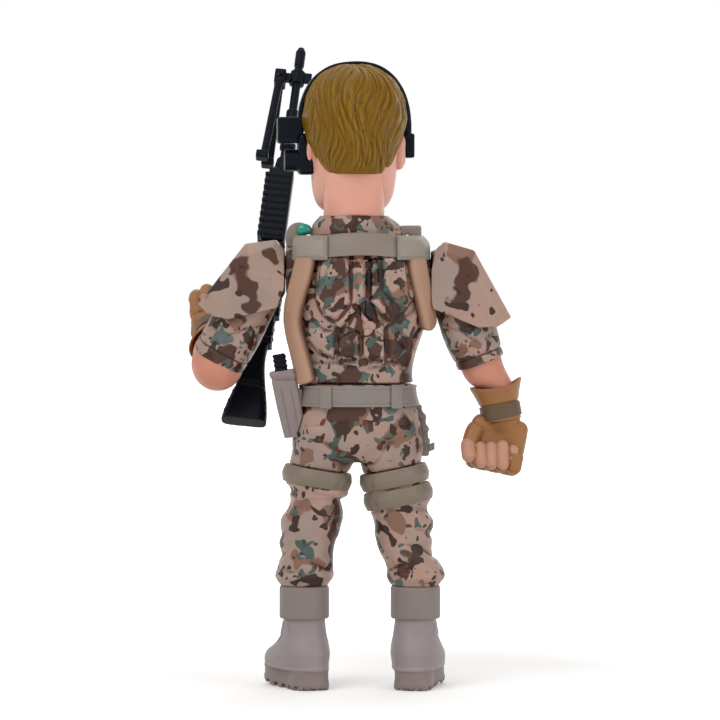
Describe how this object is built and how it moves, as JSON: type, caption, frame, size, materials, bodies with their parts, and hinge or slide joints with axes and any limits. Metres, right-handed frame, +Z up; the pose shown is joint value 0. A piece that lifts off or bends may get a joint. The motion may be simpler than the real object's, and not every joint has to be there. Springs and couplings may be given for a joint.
{
  "type": "articulated action figure",
  "caption": "Toy soldier figure with swivel joints, vest and harness, headset, boots, and a machine gun with folding bipod held upright in the left fist.",
  "frame": {"origin": "on the floor between the boots, straight under the waist joint", "axes": "+Z up, the figure faces -Y, and its left side is +X"},
  "size_m": [0.0549, 0.0481, 0.1046],
  "materials": {
    "camo_vinyl": "printed camouflage on moulded vinyl, semi-matt",
    "skin_vinyl": "soft satin",
    "hair_plastic": "semi-gloss",
    "headset_plastic": "satin black",
    "strap_plastic": "matt tan",
    "yoke_plastic": "matt grey-brown",
    "buckle_plastic": "satin grey",
    "lens_plastic": "clear glossy paint, teal",
    "belt_plastic": "matt warm grey",
    "holster_plastic": "matt warm grey",
    "band_plastic": "matt olive grey",
    "boot_plastic": "satin grey",
    "sole_plastic": "matt darker grey",
    "glove_vinyl": "satin brown",
    "wrist_strap_vinyl": "satin dark brown",
    "gun_plastic": "satin blue-black"
  },
  "bodies": {
    "hips": {"pelvis": "camo_vinyl", "belt": "belt_plastic", "belt_buckle": "buckle_plastic", "belt_keepers": "buckle_plastic", "holster": "holster_plastic", "pistol_grip": "gun_plastic", "hip_strap": "band_plastic", "hip_strap_slide": "buckle_plastic"},
    "torso": {"torso_front": "camo_vinyl", "torso_back": "camo_vinyl", "collar": "camo_vinyl", "harness_strap_left": "strap_plastic", "harness_strap_right": "strap_plastic", "harness_yoke_back": "yoke_plastic", "harness_yoke_front": "yoke_plastic", "shoulder_buckle_left": "buckle_plastic", "shoulder_buckle_right": "buckle_plastic", "shoulder_lamp_tab": "buckle_plastic", "shoulder_lamp_lens": "lens_plastic", "shoulder_stub_right": "buckle_plastic"},
    "head": {"head": "skin_vinyl", "hair": "hair_plastic", "headset_band": "headset_plastic", "headset_ear_cup": "headset_plastic", "headset_radio": "headset_plastic", "headset_temple_pad": "headset_plastic"},
    "left_upper_arm": {"left_sleeve": "camo_vinyl", "left_shoulder_pad": "camo_vinyl"},
    "left_forearm": {"left_forearm": "skin_vinyl"},
    "left_hand": {"left_glove": "glove_vinyl", "left_wrist_strap": "wrist_strap_vinyl", "left_fingertips": "skin_vinyl"},
    "right_upper_arm": {"right_sleeve": "camo_vinyl", "right_shoulder_pad": "camo_vinyl"},
    "right_forearm": {"right_forearm": "skin_vinyl"},
    "right_hand": {"right_glove": "glove_vinyl", "right_wrist_strap": "wrist_strap_vinyl", "right_fingertips": "skin_vinyl"},
    "gun": {"gun_receiver": "gun_plastic", "gun_stock": "gun_plastic", "gun_handguard": "gun_plastic", "gun_barrel": "gun_plastic", "bipod_pin": "gun_plastic"},
    "bipod": {"gun_bipod": "gun_plastic"},
    "left_leg": {"left_trouser_leg": "camo_vinyl", "left_thigh_band": "band_plastic", "left_boot_cuff": "boot_plastic"},
    "left_foot": {"left_boot": "boot_plastic", "left_boot_sole": "sole_plastic"},
    "right_leg": {"right_trouser_leg": "camo_vinyl", "right_thigh_band": "band_plastic", "right_thigh_band_lower": "band_plastic", "right_boot_cuff": "boot_plastic"},
    "right_foot": {"right_boot": "boot_plastic", "right_boot_sole": "sole_plastic"}
  },
  "joints": [
    {"name": "waist_swivel", "type": "hinge", "parent": "hips", "child": "torso", "pos_m": [0, 0, 0.0489], "axis": [0, 0, 1], "range_deg": [-20, 20]},
    {"name": "neck_swivel", "type": "hinge", "parent": "torso", "child": "head", "pos_m": [0.00065, 0.0004, 0.07275], "axis": [0, 0, 1], "range_deg": [-60, 60]},
    {"name": "left_shoulder_swing", "type": "hinge", "parent": "torso", "child": "left_upper_arm", "pos_m": [0.0115, 0, 0.0672], "axis": [1, 0, 0], "range_deg": [-45, 15]},
    {"name": "right_shoulder_swing", "type": "hinge", "parent": "torso", "child": "right_upper_arm", "pos_m": [-0.0115, 0, 0.0672], "axis": [1, 0, 0], "range_deg": [-90, 45]},
    {"name": "left_forearm_swivel", "type": "hinge", "parent": "left_upper_arm", "child": "left_forearm", "pos_m": [0.02176, 0, 0.05356], "axis": [-0.4848, 0, 0.8746], "range_deg": [0, 12]},
    {"name": "right_forearm_swivel", "type": "hinge", "parent": "right_upper_arm", "child": "right_forearm", "pos_m": [-0.01954, 0, 0.05254], "axis": [0.342, 0, 0.9397], "range_deg": [-30, 30]},
    {"name": "left_wrist_swivel", "type": "hinge", "parent": "left_forearm", "child": "left_hand", "pos_m": [0.02318, -0.00715, 0.05587], "axis": [0.061, -0.8725, 0.4848], "range_deg": [-6, 6]},
    {"name": "right_wrist_swivel", "type": "hinge", "parent": "right_forearm", "child": "right_hand", "pos_m": [-0.02252, 0, 0.04599], "axis": [0.1908, 0, 0.9816], "range_deg": [-45, 45]},
    {"name": "gun_tilt", "type": "hinge", "parent": "left_hand", "child": "gun", "pos_m": [0.01528, -0.01259, 0.05936], "axis": [0.994, -0.0532, 0.096], "range_deg": [-10, 10]},
    {"name": "bipod_fold", "type": "hinge", "parent": "gun", "child": "bipod", "pos_m": [0.01295, -0.03476, 0.09935], "axis": [0, -0.8746, -0.4848], "range_deg": [0, 90]},
    {"name": "left_thigh_swivel", "type": "hinge", "parent": "hips", "child": "left_leg", "pos_m": [0.0063, 0.0002, 0.0354], "axis": [-0.1668, 0, 0.986], "range_deg": [-25, 25]},
    {"name": "right_thigh_swivel", "type": "hinge", "parent": "hips", "child": "right_leg", "pos_m": [-0.0055, 0.0002, 0.0354], "axis": [0.2011, 0, 0.9796], "range_deg": [-25, 25]},
    {"name": "left_ankle_swivel", "type": "hinge", "parent": "left_leg", "child": "left_foot", "pos_m": [0.0086, 0.0005, 0.0112], "axis": [0, 0, 1], "range_deg": [-20, 20]},
    {"name": "right_ankle_swivel", "type": "hinge", "parent": "right_leg", "child": "right_foot", "pos_m": [-0.0092, 0.0005, 0.0112], "axis": [0, 0, 1], "range_deg": [-20, 20]}
  ]
}
